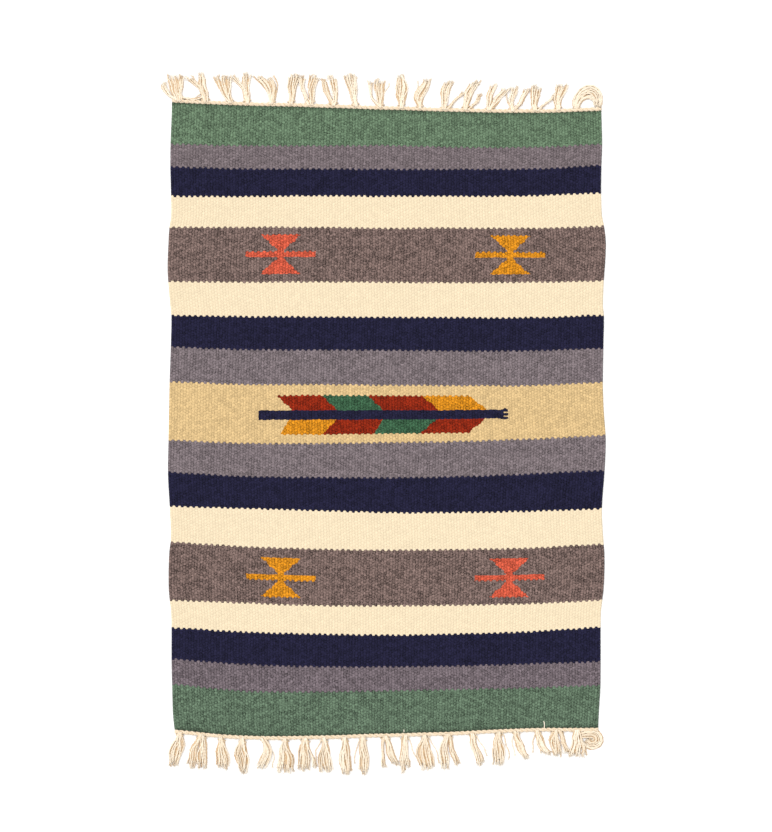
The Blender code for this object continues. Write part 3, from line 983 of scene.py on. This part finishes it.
def undyed_cotton_warp():
    """Two-ply unbleached cotton: warm cream, paler on the frayed fibres, with no gloss, and with painted
    shade on the lower yarns and towards the floor.
    """
    material, tree, surface = new_material("undyed cotton warp, two-ply")
    tone = add(tree, "Attribute", output=2, attribute_name="tone")
    place = add(tree, "TexCoord", output=3)
    slub = add(tree, "TexNoise", {"Vector": place, "Scale": 1 / SLUB_SIZE, "Detail": 3.0})
    slub = add(tree, "Math", (slub, 2 * SLUB_VARIES, -SLUB_VARIES), operation="MULTIPLY_ADD")
    light = add(tree, "Math", (tone, TONE_VARIES, slub), operation="MULTIPLY_ADD")
    light = add(tree, "Math", (light, WARP_LIGHT), operation="ADD", use_clamp=True)
    height = add(tree, "SeparateXYZ", (place,)).node.outputs[2]
    # painted shade: darkest between the yarns near the floor, fading out higher up
    depth = add(tree, "MapRange", {0: height, 1: 0.4 * MM, 2: 2.6 * MM, 3: 0.0, 4: 1.0})
    dark = add(tree, "Mix", {0: depth, 6: linear(WARP_PAINTED_SHADE), 7: linear(WARP_SHADED)}, 2, data_type="RGBA")
    colour = add(tree, "Mix", {0: light, 6: dark, 7: linear(WARP_PALE)}, 2, data_type="RGBA")
    grain = add(tree, "TexNoise", {"Vector": place, "Scale": 1 / GRAIN_SIZE, "Detail": 2.0})
    bump = add(tree, "Bump", {"Strength": 0.35, "Distance": 0.15 * MM, "Height": grain})
    tree.links.new(colour, surface.inputs["Base Color"])
    tree.links.new(bump, surface.inputs["Normal"])
    surface.inputs["Roughness"].default_value = 0.88
    surface.inputs["Specular IOR Level"].default_value = 0.2
    surface.inputs["Sheen Weight"].default_value = 0.1
    surface.inputs["Sheen Roughness"].default_value = 0.5
    return material


# ---------------------------------------------------------------- studio

LONG_SIDE_SEEN = 1155.6 * MM  # how much of the cloth's plane the view takes in along its long side
LENS = 100
SENSOR = 36
VIEW_MIDDLE = Vector((-1.0, 7.8, 0)) * MM
AROUND = 1.105  # strength of the even light
KEY = 1.47  # and of the key
KEY_FROM = Vector((-0.6, 0.6, 1.1))


def studio_floor():
    """A pale painted floor, bright enough to read as white."""
    mesh = bpy.data.meshes.new("floor")
    half = 12
    corners = [(-half, -half, 0), (half, -half, 0), (half, half, 0), (-half, half, 0)]
    mesh.from_pydata(corners, [], [(0, 1, 2, 3)])
    floor = bpy.data.objects.new("floor", mesh)
    bpy.context.scene.collection.objects.link(floor)
    material, _, surface = new_material("matt white paint")
    surface.inputs["Base Color"].default_value = linear("#F9F9F9")
    surface.inputs["Roughness"].default_value = 0.95
    surface.inputs["Specular IOR Level"].default_value = 0.1
    mesh.materials.append(material)


def studio_light():
    """Even light from all round, and a broad soft key from the far left."""
    world = bpy.data.worlds.new("studio")
    bpy.context.scene.world = world
    world.use_nodes = True
    world.node_tree.nodes["Background"].inputs["Color"].default_value = (1, 1, 1, 1)
    world.node_tree.nodes["Background"].inputs["Strength"].default_value = AROUND
    lamp = bpy.data.lights.new("key", "SUN")
    lamp.angle = math.radians(35)
    lamp.energy = KEY
    key = bpy.data.objects.new("key", lamp)
    key.rotation_euler = (-KEY_FROM).to_track_quat("-Z", "Y").to_euler()
    bpy.context.scene.collection.objects.link(key)


def camera_above(shift):
    """Straight above, through a long lens."""
    camera = bpy.data.cameras.new("camera")
    camera.lens = LENS
    camera.sensor_width = SENSOR
    above = bpy.data.objects.new("camera", camera)
    above.location = shift + VIEW_MIDDLE + Vector((0, 0, CLOTH_THICKNESS + LONG_SIDE_SEEN * LENS / SENSOR))
    bpy.context.scene.collection.objects.link(above)
    bpy.context.scene.camera = above


def main():
    bpy.context.scene.view_settings.view_transform = "Standard"
    grid = cloth_grid()
    shift = place_on_cad(grid[2])
    cloth = woven_cloth(grid, shift)
    far = fringe("fringe_far_end_yarns", 1, FAR_LOCKS, FAR_CURLS, grid, shift, 11)
    near = fringe("fringe_near_end_yarns", -1, NEAR_LOCKS, NEAR_CURLS, grid, shift, 23)
    weft, warp = dyed_cotton_weft(), undyed_cotton_warp()
    for piece, node, material, slot in (
        (cloth, "woven_cloth", weft, "weft_yarns"),
        (far, "fringe_far_end", warp, "warp_yarn"),
        (near, "fringe_near_end", warp, "warp_yarn"),
    ):
        piece.data.materials.append(material)
        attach(piece, "root")
        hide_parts(node)
    studio_floor()
    studio_light()
    camera_above(shift)


main()
